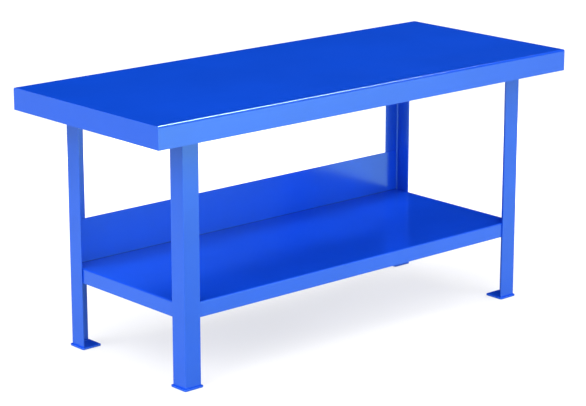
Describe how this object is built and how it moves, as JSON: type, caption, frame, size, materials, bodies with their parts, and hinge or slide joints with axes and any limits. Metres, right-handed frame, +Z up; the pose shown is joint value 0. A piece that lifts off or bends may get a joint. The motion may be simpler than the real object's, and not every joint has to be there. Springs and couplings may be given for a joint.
{
  "type": "assembly table",
  "caption": "Painted steel assembly table: a flat top with turned-down edges on inset angle legs with foot plates, and a lower shelf with a raised back panel.",
  "frame": {"origin": "on the floor, under the middle of the worktop", "axes": "+X along the worktop's length, to the right as seen from the front, +Y to the rear, where the back panel is, +Z up"},
  "size_m": [1.829, 0.762, 0.9],
  "materials": {
    "worktop_paint": "satin",
    "frame_paint": "satin",
    "shelf_paint": "satin"
  },
  "bodies": {
    "root": {"top_sheet": "worktop_paint", "left_end_cap": "worktop_paint", "right_end_cap": "worktop_paint", "top_stiffener_left": "worktop_paint", "top_stiffener_right": "worktop_paint", "front_rail": "frame_paint", "rear_rail": "frame_paint", "left_rail": "frame_paint", "right_rail": "frame_paint", "shelf_tray": "shelf_paint", "shelf_stiffener_left": "shelf_paint", "shelf_stiffener_right": "shelf_paint", "front_left_leg": "frame_paint", "front_left_foot_plate": "frame_paint", "front_left_foot_weld_long": "frame_paint", "front_left_foot_weld_end": "frame_paint", "front_left_rail_weld_long": "frame_paint", "front_left_rail_weld_end": "frame_paint", "front_left_shelf_weld_long": "frame_paint", "front_left_shelf_weld_end": "frame_paint", "front_right_leg": "frame_paint", "front_right_foot_plate": "frame_paint", "front_right_foot_weld_long": "frame_paint", "front_right_foot_weld_end": "frame_paint", "front_right_rail_weld_long": "frame_paint", "front_right_rail_weld_end": "frame_paint", "front_right_shelf_weld_long": "frame_paint", "front_right_shelf_weld_end": "frame_paint", "rear_left_leg": "frame_paint", "rear_left_foot_plate": "frame_paint", "rear_left_foot_weld_long": "frame_paint", "rear_left_foot_weld_end": "frame_paint", "rear_left_rail_weld_long": "frame_paint", "rear_left_rail_weld_end": "frame_paint", "rear_left_panel_weld": "frame_paint", "rear_left_shelf_weld_end": "frame_paint", "rear_right_leg": "frame_paint", "rear_right_foot_plate": "frame_paint", "rear_right_foot_weld_long": "frame_paint", "rear_right_foot_weld_end": "frame_paint", "rear_right_rail_weld_long": "frame_paint", "rear_right_rail_weld_end": "frame_paint", "rear_right_panel_weld": "frame_paint", "rear_right_shelf_weld_end": "frame_paint"}
  },
  "joints": []
}
